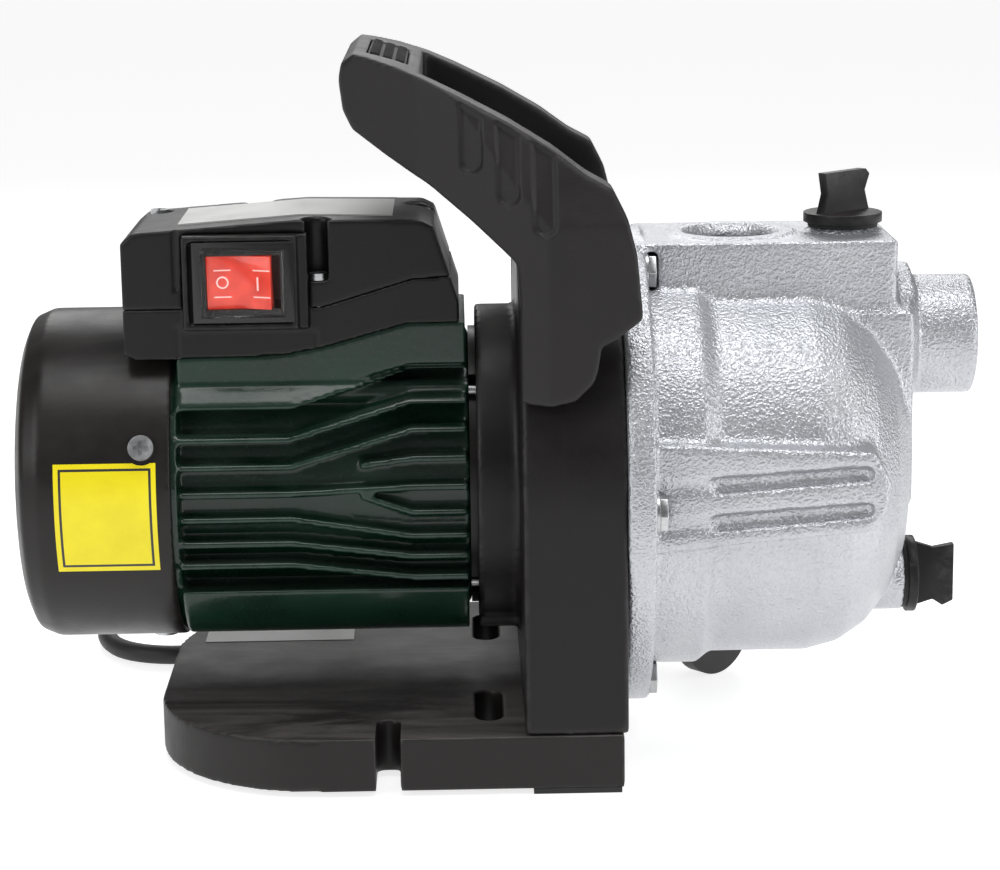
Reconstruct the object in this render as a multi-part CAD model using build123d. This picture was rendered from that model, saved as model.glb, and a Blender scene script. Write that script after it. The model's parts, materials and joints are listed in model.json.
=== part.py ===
from build123d import *

import math
import os

# A shallow well jet pump: a finned electric motor drives an impeller and ejector inside a cast
# casing. The shaft lies along X, with the suction port at +X and the fan cover at -X. +Z is up, and
# the origin is on the floor under the middle of the pump. All sizes are millimetres.

# Running gear and fits
axis_z = 99.0
running_gap = 0.05
fit_gap = 0.1
shell_gap = 0.4

# Base plate
foot_height = 2.0
base_height = 19.0
base_left = -128.5
base_right = 38.5
base_half_width = 87.0
base_corner = 60.0
base_wall = 4.0
slot_width = 9.5
slot_length = 35.0
slot_x = -8.5
slot_spacing = 100.0
notch_width = 8.5
notch_depth = 22.0
notch_x = -44.5

# Fan cover and fan
cover_left = -175.5
cover_radius = 61.0
cover_wall = 2.5
cover_round = 9.0
fan_radius = 50.0
fan_blades = 9
cover_screws = 3

# Motor
housing_left = -119.5
housing_right = -14.0
housing_bore = 47.0
housing_wall = 3.0
housing_half_width = 55.5
housing_bottom = 43.0
housing_top = 149.0
housing_corner = 36.0
fin_thickness = 2.2
stator_bore = 30.5
stator_length = 60.0
air_gap = 0.5
shaft_radius = 6.0
bearing_radius = 16.0
bearing_width = 10.0
ball_radius = 2.4

# Bracket
bracket_left = 3.8
bracket_right = 40.0
bracket_radius = 87.0
bracket_wall = 6.0
neck_left = -11.5
neck_radius = 60.0
neck_wall = 5.0
neck_flat_z = 48.0
seal_bore = 17.0

# Casing
flange_thickness = 10.0
flange_radius = 88.3
bolt_circle = 80.0
bolt_count = 5
bolt_radius = 3.0
casing_radius = 75.0
body_radius = 71.0
body_end = 109.5
casing_end = 148.0
casing_wall = 5.0
block_half_width = 28.0
block_top_z = 185.0
port_radius = 15.15
port_ring_radius = 23.0
port_depth = 20.0
discharge_x = 83.1
nozzle_radius = 22.0
nozzle_end = 171.8
suction_z = 145.9
duct_x = 120.0
duct_radius = 13.0
filler_x = 124.5
plug_bore = 10.0
plug_disc_radius = 14.4
drain_z = 54.0
impeller_radius = 58.0

# Handle
handle_outer = 87.0
handle_arm = 19.0
handle_crest = 62.0
handle_end = 47.0

# Terminal box
box_near = -45.0
box_far = 18.0
box_wall = 3.0
switch_x = -92.3
switch_z = 177.0
switch_width = 35.5
switch_height = 28.5
rocker_width = 23.0
rocker_height = 18.6
rocker_tilt = 10.0
gland_x = -58.0
gland_z = 172.0

# Mains lead
cord_radius = 3.9
coil_x = -76.0
coil_y = 160.0
coil_radius = 43.0
coil_band = 17.0
coil_height = 16.0
plug_x = 84.0
plug_y = 50.0
plug_heading = -48.0
plug_radius = 18.5

base_top = foot_height + base_height
flange_left = bracket_right
flange_right = flange_left + flange_thickness


def bar(radius, x0, x1, y=0.0, z=axis_z):
    """A round bar along X."""
    return Pos((x0 + x1) / 2, y, z) * Rot(0, 90, 0) * Cylinder(radius, x1 - x0)


def tube(outer, inner, x0, x1, y=0.0, z=axis_z):
    """A round tube along X."""
    return bar(outer, x0, x1, y, z) - bar(inner, x0 - 1, x1 + 1, y, z)


def post(radius, x, y, z0, z1):
    """A round bar along Z."""
    return Pos(x, y, (z0 + z1) / 2) * Cylinder(radius, z1 - z0)


def peg(radius, x, z, y0, y1):
    """A round bar along Y."""
    return Pos(x, (y0 + y1) / 2, z) * Rot(90, 0, 0) * Cylinder(radius, y1 - y0)


def block(x0, x1, y0, y1, z0, z1):
    return Pos((x0 + x1) / 2, (y0 + y1) / 2, (z0 + z1) / 2) * Box(x1 - x0, y1 - y0, z1 - z0)


def turned(profile):
    """A solid of revolution about the shaft, from a closed list of (x, radius) points."""
    outline = Polyline(*[(x, 0, r) for x, r in profile], close=True)
    return Pos(0, 0, axis_z) * revolve(make_face(outline), Axis.X)


def side_plate(profile, y0, y1):
    """A plate cut to a closed list of (x, z) points, between two Y planes."""
    outline = Polyline(*[(x, y0, z) for x, z in profile], close=True)
    return extrude(make_face(outline), amount=y1 - y0, dir=(0, 1, 0))


def end_plate(profile, x0, x1):
    """A plate cut to a closed list of (y, z) points, between two X planes."""
    outline = Polyline(*[(x0, y, z) for y, z in profile], close=True)
    return extrude(make_face(outline), amount=x1 - x0, dir=(1, 0, 0))


def around_axis(angle, radius):
    """Y and Z at an angle from the near side of the shaft, turning upward."""
    turn = math.radians(angle)
    return -radius * math.cos(turn), axis_z + radius * math.sin(turn)


def spun(angle):
    """A turn about the shaft."""
    return Pos(0, 0, axis_z) * Rot(angle, 0, 0) * Pos(0, 0, -axis_z)


# The file's origin is the middle of the pump's length; the sizes above count from the motor's datum.
centre_shift = -(cover_left + nozzle_end) / 2


def centred(shape):
    return shape.moved(Location((centre_shift, 0, 0)))


def write(name, shape):
    shape.label = name
    export_step(shape, f"parts/{name}.step")


def save(name, shape):
    write(name, centred(shape))


def save_group(name, shapes):
    write(name, Compound(children=[centred(shape) for shape in shapes]))


os.makedirs("parts", exist_ok=True)

# ---- Base plate, feet and the screws that hold the bracket

def base_outline(inset, z0, z1):
    """The base's plan shape, with big round corners at the fan end."""
    corner = base_corner - inset
    half = base_half_width - inset
    left = base_left + inset
    body = block(left + corner, base_right - inset, -half, half, z0, z1)
    body += block(left, left + corner, -half + corner, half - corner, z0, z1)
    for side in (-1, 1):
        body += post(corner, left + corner, side * (half - corner), z0, z1)
    return body


def long_hole(x, y, width, length, z0, z1):
    """A slot along Y with round ends."""
    straight = (length - width) / 2
    hole = block(x - width / 2, x + width / 2, y - straight, y + straight, z0, z1)
    for end in (-1, 1):
        hole += post(width / 2, x, y + end * straight, z0, z1)
    return hole


base_plate = base_outline(0, foot_height, base_top)
hollow_top = base_top - base_wall
base_plate -= base_outline(base_wall, foot_height - 1, hollow_top)
mid_rib = block(base_left + base_wall, base_right - base_wall, -2, 2, foot_height, hollow_top)
base_plate += mid_rib
slot_boss = slot_width + 2 * base_wall
boss_y = base_half_width - base_wall
for side in (-1, 1):
    slot_y = side * slot_spacing / 2
    base_plate += long_hole(slot_x, slot_y, slot_boss, slot_length + 2 * base_wall, foot_height, base_top)
    base_plate -= long_hole(slot_x, slot_y, slot_width, slot_length, foot_height - 1, base_top + 1)
    notch_y = side * base_half_width
    notch_boss = notch_width + 2 * base_wall
    boss = long_hole(notch_x, notch_y, notch_boss, 2 * (notch_depth + base_wall), foot_height, base_top)
    base_plate += boss & base_outline(0, foot_height, base_top)
    base_plate -= long_hole(notch_x, notch_y, notch_width, 2 * notch_depth, foot_height - 1, base_top + 1)

bracket_screw_x = [bracket_left + 9.0, bracket_right - 12.0]
bracket_screw_y = base_half_width - 15.0
screw_shank = 2.0
screw_head = 4.0
base_screws = []
for x in bracket_screw_x:
    for side in (-1, 1):
        y = side * bracket_screw_y
        base_plate += post(screw_head + base_wall, x, y, foot_height + 3, base_top)
        base_plate -= post(screw_head + 0.4, x, y, foot_height - 1, hollow_top)
        base_plate -= post(screw_shank + fit_gap, x, y, foot_height, base_top + 1)
        head = post(screw_head, x, y, hollow_top - 2.5, hollow_top)
        base_screws.append(head + post(screw_shank, x, y, hollow_top, base_top + 12))
bolt_places = [around_axis(place * 360 / bolt_count, bolt_circle) for place in range(bolt_count)]
bolt_left = bracket_left + 20.0
for y, z in bolt_places:
    base_plate -= bar(bolt_radius + shell_gap, bolt_left - 1, base_right + 1, y, z)
save("base_plate", base_plate)
save_group("base_screws", base_screws)

foot_length = 31.0
foot_width = 16.0
foot_plug = 3.0
feet = []
foot_places = [(base_right - 16.5, base_half_width - foot_width / 2)]
foot_places.append((base_left + 52.0, base_half_width - 2 * foot_width))
for x, y in foot_places:
    for side in (-1, 1):
        x0, x1 = x - foot_length / 2, x + foot_length / 2
        y0, y1 = side * y - foot_width / 2, side * y + foot_width / 2
        feet.append(block(x0, x1, y0, y1, 0, foot_height))
save_group("base_feet", feet)

label_x0, label_x1 = -118.5, -60.5
save("base_label", block(label_x0, label_x1, 35, 63, base_top, base_top + 0.3))

# ---- Bracket: an arch that stands on the base, with a neck that holds the motor

def arch(radius, x0, x1, z0):
    body = block(x0, x1, -radius, radius, z0, axis_z)
    return body + (bar(radius, x0, x1) & block(x0 - 1, x1 + 1, -radius, radius, axis_z - 1, 300))


bracket = arch(bracket_radius, bracket_left, bracket_right, base_top)
bracket -= arch(bracket_radius - bracket_wall, bracket_left + 4, bracket_right - bracket_wall, base_top + 5)
neck = tube(neck_radius, neck_radius - neck_wall, neck_left, bracket_left)
bracket += neck & block(neck_left - 1, bracket_left, -90, 90, neck_flat_z, 300)
bracket += block(neck_left, bracket_left, -36, 36, neck_flat_z - 2, neck_flat_z + 4)
hub_right = bracket_right - bracket_wall
bracket += bar(seal_bore + 5, bracket_left, hub_right)
bracket -= bar(14, bracket_left - 1, hub_right - 8)
bracket -= bar(seal_bore, hub_right - 8, bracket_right + 1)
tie_circle = 50.0
for angle in (45, 135, 225, 315):
    y, z = around_axis(angle, tie_circle)
    lug = bar(5.5, neck_left, bracket_left, y, z)
    bracket += lug
    bracket -= bar(bolt_radius - 0.9, neck_left - 1, bracket_left + 5, y, z)
for y, z in bolt_places:
    boss = bar(bolt_radius + 4, bolt_left - 4, bracket_right, y, z)
    bracket += boss & arch(bracket_radius, bracket_left, bracket_right, base_top)
    bracket -= bar(bolt_radius + fit_gap, bolt_left - 1, bracket_right + 1, y, z)
for x in bracket_screw_x:
    for side in (-1, 1):
        y = side * bracket_screw_y
        bracket += post(screw_shank + 3.5, x, y, base_top, base_top + 16)
        bracket -= post(screw_shank + fit_gap, x, y, base_top - 1, base_top + 13)
handle_screw_places = [(12.0, 143.0), (12.0, 154.0)]
for x, z in handle_screw_places:
    bracket -= peg(screw_shank + fit_gap, x, z, -100, 100)
save("pump_bracket", bracket)

# ---- Handle: two wide arms on the sides of the arch, and a cross grip at their upper ends

arm_top = [(-52.0, 255.9), (-47.0, 254.9), (-38.0, 252.4), (-28.0, 248.6), (-16.5, 243.2), (0.5, 234.4)]
arm_top += [(15.5, 225.3)]
arm_top += [(26.5, 217.0), (35.5, 212.0), (40.5, 202.0), (43.5, 190.0), (45.5, 168.0)]
arm_under = [(36.3, 161.0), (31.2, 158.5), (30.1, 150.5), (28.5, 146.0), (22.5, 140.0), (13.5, 138.0)]
arm_under += [(3.8, 138.7), (3.9, 173.6), (3.1, 186.7), (-2.5, 192.0), (-12.5, 201.0), (-26.1, 212.0)]
arm_under += [(-41.1, 221.4), (-53.0, 229.6), (-56.3, 236.0), (-57.6, 246.5), (-56.5, 252.5)]
grip_right = -29.0
handle_low, handle_mid, handle_high = 130.0, 200.0, 265.0


def bail_section(inset):
    """The handle's shape seen from its end: wide at the bracket, leaning in towards the crest."""
    half = [(handle_outer - inset, handle_low), (handle_outer - inset, handle_mid)]
    half += [(handle_outer - inset - 10, handle_mid + 28), (handle_crest - inset, handle_high)]
    return half + [(-y, z) for y, z in reversed(half)]


plan_half = [(-62.0, handle_end - 7), (-54.0, handle_end), (-30.0, handle_end + 18), (0.0, handle_outer - 6)]
plan_half += [(14.0, handle_outer), (60.0, handle_outer)]
plan = [(x, -y) for x, y in plan_half] + list(reversed(plan_half))
plan_outline = Polyline(*[(x, y, handle_low) for x, y in plan], close=True)
handle = side_plate(arm_top + arm_under, -handle_outer, handle_outer)
handle &= end_plate(bail_section(0), -70, 60)
handle &= extrude(make_face(plan_outline), amount=handle_high - handle_low, dir=(0, 0, 1))
handle -= end_plate(bail_section(handle_arm + handle_outer - bracket_radius), grip_right, 60)
handle -= bar(bracket_radius + fit_gap, bracket_left - 20, bracket_right)
handle -= bar(flange_radius + 0.8, bracket_right, bracket_right + 20)
insert_half = handle_end - 15.0
insert_profile = [(-47.5, 255.7), (-33.5, 251.3), (-35.0, 246.9), (-49.0, 251.3)]
grip_insert = side_plate(insert_profile, -insert_half, insert_half)
handle -= side_plate(insert_profile, -insert_half - fit_gap, insert_half + fit_gap)
handle_screws = []
for x, z in handle_screw_places:
    for side in (-1, 1):
        inner = side * math.sqrt((bracket_radius - bracket_wall) ** 2 - (z + 6 - axis_z) ** 2)
        outer = side * (handle_outer - 3)
        handle -= peg(screw_shank + fit_gap, x, z, min(inner, outer), max(inner, outer))
        start = inner - side * 2
        shank = peg(screw_shank, x, z, min(start, outer - side), max(start, outer - side))
        head_end = start - side * 3
        handle_screws.append(shank + peg(screw_head, x, z, min(start, head_end), max(start, head_end)))
save("handle", handle)
save("grip_insert", grip_insert)
save_group("handle_screws", handle_screws)

# ---- Motor housing with fins, shields, stator and tie bolts

def housing_envelope(grow, x0, x1):
    """The rounded square section that the fins reach."""
    half = housing_half_width + grow
    low, high, corner = housing_bottom - grow, housing_top + grow, housing_corner + grow
    body = block(x0, x1, -half, half, low + corner, high - corner)
    body += block(x0, x1, -half + corner, half - corner, low, high)
    for y in (-half + corner, half - corner):
        for z in (low + corner, high - corner):
            body += bar(corner, x0, x1, y, z)
    return body


def fin_strip(points):
    """A fin seen from the side: a band of even thickness along a bent line."""
    half = fin_thickness / 2
    upper = [(x, z + half) for x, z in points]
    lower = [(x, z - half) for x, z in reversed(points)]
    return side_plate(upper + lower, -80, 80)


bend_left = -77.5
bend_right = -34.5
fins_left = housing_left + 2
fins_right = housing_right - 1
fin_levels = [(132.4, 144.2), (121.3, 133.6), (111.6, 123.9), (101.8, 103.6), (92.6, 85.7)]
fin_levels += [(83.7, 78.3), (75.8, 70.4)]
short_levels = [(111.6, 113.9), (100.5, 94.4)]
envelope = housing_envelope(0, fins_left, fins_right)
fins = None
for left_z, right_z in fin_levels:
    path = [(fins_left, left_z), (bend_left, left_z), (bend_right, right_z), (fins_right, right_z)]
    strip = fin_strip(path) & envelope
    fins = strip if fins is None else fins + strip
for left_z, right_z in short_levels:
    path = [(bend_left + 25, left_z), (bend_right, right_z), (fins_right, right_z)]
    fins += fin_strip(path) & envelope
# the plain bands below the fins and under the terminal box, and the rings at both ends
fins += envelope & block(fins_left, fins_right, -80, 80, housing_bottom, 66)
pedestal = [(-117.5, 132.0), (-117.5, 149.2), (-80.0, 150.2), (-66.0, 152.6), (-36.0, 160.7)]
pedestal += [(fins_right, 161.0)]
pedestal += [(fins_right, 146.0), (bend_right, 146.0), (bend_left, 134.5)]
fins += side_plate(pedestal, box_near + 1, box_far - 1)
fins += envelope & side_plate(
    [(fins_left, 134.5), (bend_left, 134.5), (bend_right, 146.5), (fins_right, 146.5), (fins_right, 170),
     (fins_left, 170)], -80, 80)
core_radius = housing_bore + housing_wall
housing = fins + bar(core_radius, housing_left, housing_right)
rim_radius = cover_radius - cover_wall - fit_gap
housing += tube(rim_radius, rim_radius - 5, housing_left - 14, housing_left + 2)
housing += bar(rim_radius, housing_left, housing_left + 2)
housing -= bar(housing_bore, housing_left - 20, housing_right + 1)
for angle in (45, 135, 225, 315):
    y, z = around_axis(angle, tie_circle)
    housing += bar(4.5, housing_left + 2, housing_right, y, z) - bar(housing_bore, -200, 0)
    housing -= bar(bolt_radius - 0.9, housing_left, housing_right + 1, y, z)
# The wires pass from the motor into the terminal box.
wire_hole = 7.0
housing -= post(wire_hole, -45, 0, axis_z, 170)

screw_angles = [20, 160, 270]
screw_x = -129.5
cover_screw_list = []
cover_screw_cuts = None
for angle in screw_angles:
    turn = spun(-angle)
    shank = turn * peg(screw_shank, screw_x, axis_z, -cover_radius, -cover_radius + 7)
    head = turn * peg(4.5, screw_x, axis_z, -cover_radius - 2.2, -cover_radius + 0.2)
    hole = turn * peg(screw_shank + fit_gap, screw_x, axis_z, -cover_radius - 3, -cover_radius + 9)
    seat = turn * peg(4.7, screw_x, axis_z, -cover_radius - 3, -cover_radius + 0.2)
    cover_screw_list.append(shank + head)
    cut = hole + seat
    cover_screw_cuts = cut if cover_screw_cuts is None else cover_screw_cuts + cut
housing -= cover_screw_cuts
save("motor_housing", housing)
save_group("fan_cover_screws", cover_screw_list)

cover = turned([(cover_left, 0), (cover_left, cover_radius - cover_round),
                (cover_left + cover_round * 0.3, cover_radius - cover_round * 0.3),
                (cover_left + cover_round, cover_radius), (housing_left, cover_radius), (housing_left, 0)])
inner_left = cover_left + cover_wall
inner_radius = cover_radius - cover_wall
cover -= turned([(inner_left, 0), (inner_left, inner_radius - cover_round),
                 (inner_left + cover_round * 0.3, inner_radius - cover_round * 0.3),
                 (inner_left + cover_round, inner_radius), (housing_left + 1, inner_radius),
                 (housing_left + 1, 0)])
grille_count = 28
grille_inner = 14.0
grille_outer = cover_radius - cover_round - 3
grille_width = 3.2
for rib in range(grille_count):
    turn = spun(rib * 360 / grille_count)
    low = axis_z + (grille_inner if rib % 2 == 0 else grille_inner + 14)
    slot = block(cover_left - 1, inner_left + 0.5, -grille_width / 2, grille_width / 2, low,
                 axis_z + grille_outer)
    cover -= turn * slot
cover -= cover_screw_cuts
save("fan_cover", cover)

label_skin = tube(cover_radius + 0.25, cover_radius, -160.5, -124.5)
label_cut = block(-161, -124, -cover_radius - 1, 0, 75.5, 115) - bar(0.1, -162, -123)
noise_label = label_skin & label_cut
noise_label -= spun(-20) * peg(6, screw_x, axis_z, -70, -50)
save("cover_label", noise_label)

stator_left = -100.0
stator_right = stator_left + stator_length
stator = tube(housing_bore - running_gap, stator_bore, stator_left, stator_right)
slots = 24
slot_opening = 2.6
for tooth in range(slots):
    turn = spun(tooth * 360 / slots)
    stator -= turn * block(stator_left - 1, stator_right + 1, -slot_opening / 2, slot_opening / 2,
                           axis_z + stator_bore - 1, axis_z + stator_bore + 9)
save("stator_core", stator)
winding_inner = stator_bore + 1.5
winding_outer = housing_bore - 4
coil_depth = 9.0
windings = [tube(winding_outer, winding_inner, stator_left - coil_depth, stator_left)]
windings.append(tube(winding_outer, winding_inner, stator_right, stator_right + coil_depth))
save_group("stator_windings", windings)

shield_thickness = 5.0
shield_gap = 0.05
hub_radius = bearing_radius + 3.5
rear_face = housing_left + 0.5
rear_shield = bar(housing_bore - shield_gap, rear_face, rear_face + shield_thickness)
rear_shield += bar(hub_radius, rear_face, rear_face + bearing_width + 1)
front_face = housing_right
front_shield = bar(housing_bore - shield_gap, front_face - shield_thickness, front_face)
front_shield += bar(neck_radius - neck_wall - 0.3, front_face, neck_left + 3) \
    & block(front_face, neck_left + 3, -90, 90, neck_flat_z + 4.3, 300)
front_shield -= tube(100, 52, front_face - 1, neck_left + 0.01)
front_shield += bar(hub_radius, front_face - bearing_width, neck_left + 3)
rear_seat = rear_face + bearing_width
front_seat = front_face - bearing_width
rear_shield -= bar(bearing_radius, rear_face + 1, rear_seat + 2)
rear_shield -= bar(shaft_radius + 0.6, rear_face - 1, rear_seat)
front_shield -= bar(bearing_radius, front_seat - 1, front_seat + bearing_width)
front_shield -= bar(shaft_radius + 0.6, front_seat, neck_left + 4)
tie_bolts = []
for angle in (45, 135, 225, 315):
    y, z = around_axis(angle, tie_circle)
    front_shield -= bar(bolt_radius + 3, front_face - 6, neck_left + 4, y, z)
    shank = bar(bolt_radius - 1, housing_left + 20, bracket_left + 4, y, z)
    tie_bolts.append(shank)
save("rear_shield", rear_shield)
save("front_shield", front_shield)
save_group("motor_studs", tie_bolts)


def ball_bearing(name, x0):
    """A deep groove bearing: the outer ring, the inner ring and the balls between them."""
    x1 = x0 + bearing_width
    middle = (x0 + x1) / 2
    pitch = (shaft_radius + bearing_radius) / 2
    groove = Pos(middle, 0, axis_z) * Rot(0, 90, 0) * Torus(pitch, ball_radius + running_gap)
    land = 1.6
    outer_ring = tube(bearing_radius - running_gap, pitch + land, x0, x1) - groove
    inner_ring = tube(pitch - land, shaft_radius, x0, x1) - groove
    save(f"{name}_outer_ring", outer_ring)
    save(f"{name}_inner_ring", inner_ring)
    balls = []
    for ball in range(7):
        y, z = around_axis(ball * 360 / 7, pitch)
        balls.append(Pos(middle, y, z) * Sphere(ball_radius))
    save_group(f"{name}_balls", balls)


ball_bearing("rear_bearing", rear_seat - bearing_width + 1)
ball_bearing("front_bearing", front_seat)

# ---- Rotor, shaft, fan, impeller and shaft seal

shaft_left = -150.0
impeller_left = flange_left + 8.0
impeller_width = 12.0
shaft_right = impeller_left + impeller_width + 10
save("motor_shaft", bar(shaft_radius, shaft_left, shaft_right))
rotor_radius = stator_bore - air_gap
rotor = tube(rotor_radius, shaft_radius, stator_left, stator_right)
for end in (stator_left - 3, stator_right):
    rotor += tube(rotor_radius - 3, shaft_radius, end, end + 3)
save("rotor_core", rotor)

fan_left = shaft_left + 1
fan_depth = 14.0
fan = tube(11, shaft_radius, fan_left, fan_left + fan_depth)
fan += tube(30, 10, fan_left + fan_depth - 3, fan_left + fan_depth)
for blade in range(fan_blades):
    turn = spun(blade * 360 / fan_blades)
    fan += turn * block(fan_left, fan_left + fan_depth, -1, 1, axis_z + 10, axis_z + fan_radius)
save("cooling_fan", fan)

impeller = tube(impeller_radius, shaft_radius, impeller_left, impeller_left + 3)
front_plate = impeller_left + impeller_width - 2.5
impeller += tube(impeller_radius, 15, front_plate, front_plate + 2.5)
impeller += tube(19, 15, front_plate, front_plate + 7)
impeller += tube(12, shaft_radius, impeller_left, impeller_left + 8)
vane_count = 6
for vane in range(vane_count):
    turn = spun(vane * 360 / vane_count)
    straight = block(impeller_left + 2, front_plate + 1, -1.2, 1.2, 0, 42)
    leaning = Pos(0, 0, axis_z + 17) * Rot(38, 0, 0) * straight
    vane_piece = leaning & tube(impeller_radius, 17, impeller_left + 2, front_plate + 1)
    impeller += turn * vane_piece
save("impeller", impeller)
nut_left = impeller_left + 8
hexagon = [around_axis(side * 60, 9.5) for side in range(6)]
impeller_nut = end_plate(hexagon, nut_left, nut_left + 6) - bar(shaft_radius, nut_left - 1, nut_left + 7)
save("impeller_nut", impeller_nut)

seat_left = hub_right - 8
save("seal_seat", tube(seal_bore, shaft_radius + 0.8, seat_left, seat_left + 7))
seal_face = seat_left + 7 + 0.05
save("seal_head", tube(11.5, shaft_radius, seal_face, seal_face + 4))
spring_right = impeller_left
spring_left = seal_face + 4
spring_pitch = 2.2
spring_wire = 0.8
spring_height = spring_right - spring_left - 2 * spring_wire
spring_helix = Helix(spring_pitch, spring_height, 9.2)
spring_start = Plane(origin=spring_helix @ 0, z_dir=spring_helix % 0)
spring = sweep(spring_start * Circle(spring_wire), path=spring_helix)
spring = Pos(spring_left + spring_wire, 0, axis_z) * Rot(0, 90, 0) * spring
save("seal_spring", spring)

# ---- Casing: flange, round body, top block with the discharge port, and the suction chamber

dome = [(body_end, body_radius), (121.0, 68.0), (131.0, 61.5), (139.0, 51.5), (144.5, 39.0), (147.2, 22.0)]
outer_profile = [(flange_left, 0), (flange_left, flange_radius), (flange_right, flange_radius)]
outer_profile += [(flange_right, casing_radius), (68.5, casing_radius), (73.5, body_radius)]
outer_profile += dome + [(casing_end, 8), (casing_end, 0)]
casing = turned(outer_profile)
block_left = flange_left + 8.0
block_right = 141.0
casing += block(block_left, block_right, -block_half_width, block_half_width, axis_z, block_top_z)
# the suction chamber, which rounds down from the block into the dome
chamber = block(101.0, 147.0, -30, 30, axis_z - 10, 168) & bar(52, 101.0, 147.0, 0, 116)
casing += chamber
casing += bar(nozzle_radius + 5, 118, casing_end + 1, 0, suction_z)
casing += bar(nozzle_radius, casing_end, nozzle_end, 0, suction_z)
casing += post(port_ring_radius, discharge_x, 0, axis_z, block_top_z + 1)
casing += post(plug_disc_radius - 1.5, filler_x, 0, axis_z, block_top_z + 2)
drain_right = 148.0
casing += bar(13.5, 110, drain_right, 0, drain_z)
pad_profile = [(51.5, 83.5), (125.0, 89.5), (131.0, 96.0), (132.5, 107.0), (127.0, 118.0), (51.5, 122.0)]
groove_levels = [(92.0, 97.5), (105.5, 110.5)]
for side in (-1, 1):
    pad_y0, pad_y1 = (-body_radius - 4.5, -60) if side < 0 else (60, body_radius + 4.5)
    pad = side_plate(pad_profile, pad_y0, pad_y1)
    for left_z, right_z in groove_levels:
        low = [(50.5, left_z - 3.2), (126.5, right_z - 2.6)]
        high = [(126.5, right_z + 2.6), (50.5, left_z + 3.2)]
        cut_y0, cut_y1 = (-90, -body_radius - 1) if side < 0 else (body_radius + 1, 90)
        pad -= side_plate(low + high, cut_y0, cut_y1)
    casing += pad

# inside: the pumping chamber, the ports and the duct that feeds the ejector
inner = casing_wall
inside = [(flange_left - 1, 0), (flange_left - 1, casing_radius - inner)]
inside += [(68.5, casing_radius - inner), (73.5, body_radius - inner)]
inside += [(x - inner * 0.75, max(r - inner * 0.9, 4)) for x, r in dome]
inside += [(casing_end - inner, 4), (casing_end - inner, 0)]
casing -= turned(inside)
casing += post(duct_radius + 5, duct_x, 0, axis_z - duct_radius - 9, suction_z + 8) & turned(outer_profile)
casing += bar(duct_radius + 5, duct_x, casing_end, 0, suction_z)
casing -= bar(duct_radius, duct_x, nozzle_end, 0, suction_z)
casing -= post(duct_radius, duct_x, 0, axis_z - duct_radius - 3, suction_z)
casing -= Pos(duct_x, 0, suction_z) * Sphere(duct_radius)
ejector_bore = 12.0
casing -= bar(ejector_bore, duct_x - duct_radius - 9, duct_x)
jet_radius = 9.0
casing -= bar(jet_radius + fit_gap, duct_x, duct_x + duct_radius + 6)
casing -= bar(port_radius, nozzle_end - port_depth, nozzle_end + 1, 0, suction_z)
casing -= post(duct_radius, discharge_x, 0, axis_z + 40, block_top_z + 2)
casing -= post(port_radius, discharge_x, 0, block_top_z + 1 - port_depth, block_top_z + 2)
port_bevel = Pos(discharge_x, 0, block_top_z - 0.5) * Cone(port_radius, port_radius + 3, 3)
casing -= port_bevel
casing -= post(plug_bore + fit_gap, filler_x, 0, suction_z, block_top_z + 3)
casing -= bar(plug_bore + fit_gap, 110, drain_right + 1, 0, drain_z)
for y, z in bolt_places:
    casing -= bar(bolt_radius + 0.3, flange_left - 1, flange_right + 1, y, z)
    casing -= bar(7.4, flange_right, flange_right + 4.5, y, z)
seal_ring_radius = casing_radius - inner + 3.2
casing -= tube(seal_ring_radius + 1.6, seal_ring_radius - 1.6, flange_left - 1, flange_left + 2.2)
casing -= block(flange_left - 1, flange_right + 1, -30, 30, 0, axis_z - flange_radius + 1.3)
save("pump_casing", casing)

save("casing_seal", tube(seal_ring_radius + 1.5, seal_ring_radius - 1.5, flange_left, flange_left + 2.1))
casing_bolts = []
casing_washers = []
for y, z in bolt_places:
    casing_washers.append(tube(7.0, bolt_radius + 0.2, flange_right, flange_right + 1.0, y, z))
    head = [(y + 6.6 * math.cos(math.radians(k * 60)), z + 6.6 * math.sin(math.radians(k * 60)))
            for k in range(6)]
    bolt = end_plate(head, flange_right + 1.0, flange_right + 4.0)
    bolt += bar(bolt_radius, bolt_left, flange_right + 1.0, y, z)
    casing_bolts.append(bolt)
save_group("casing_bolts", casing_bolts)
save_group("casing_washers", casing_washers)

# ---- Diffuser and ejector inside the casing

diffuser_radius = casing_radius - inner - 1.0
diffuser_left = flange_left + 3.0
diffuser_face = impeller_left + impeller_width + 8
diffuser = tube(diffuser_radius, diffuser_radius - 3, diffuser_left, diffuser_face)
diffuser += tube(diffuser_radius - 2, 19.4, diffuser_face - 3, diffuser_face)
diffuser += tube(22.4, 19.4, diffuser_face - 6, diffuser_face + 6)
diffuser -= tube(diffuser_radius + 1, diffuser_radius - 5, diffuser_left - 1, diffuser_left + 2)
diffuser_ribs = 8
for rib in range(diffuser_ribs):
    turn = spun(rib * 360 / diffuser_ribs + 12)
    diffuser -= turn * block(diffuser_face - 4, diffuser_face + 1, -4, 4, axis_z + 44, axis_z + 58)
save("diffuser", diffuser)
venturi_left = diffuser_face - 2
venturi_right = duct_x - duct_radius - 6
throat = 4.0
venturi_profile = [(venturi_left, 13), (venturi_left, 19.3), (venturi_left + 10, 19.3)]
venturi_profile += [(venturi_left + 14, 11.9), (venturi_right + 5, 11.9), (venturi_right + 5, 9)]
venturi_profile += [(venturi_right - 6, throat), (venturi_right - 16, throat)]
save("venturi_tube", turned(venturi_profile))
nozzle_tip = venturi_right + 7
jet_end = duct_x + duct_radius + 5
jet_profile = [(nozzle_tip, 3.2), (nozzle_tip, 5), (nozzle_tip + 8, jet_radius), (jet_end, jet_radius)]
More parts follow.
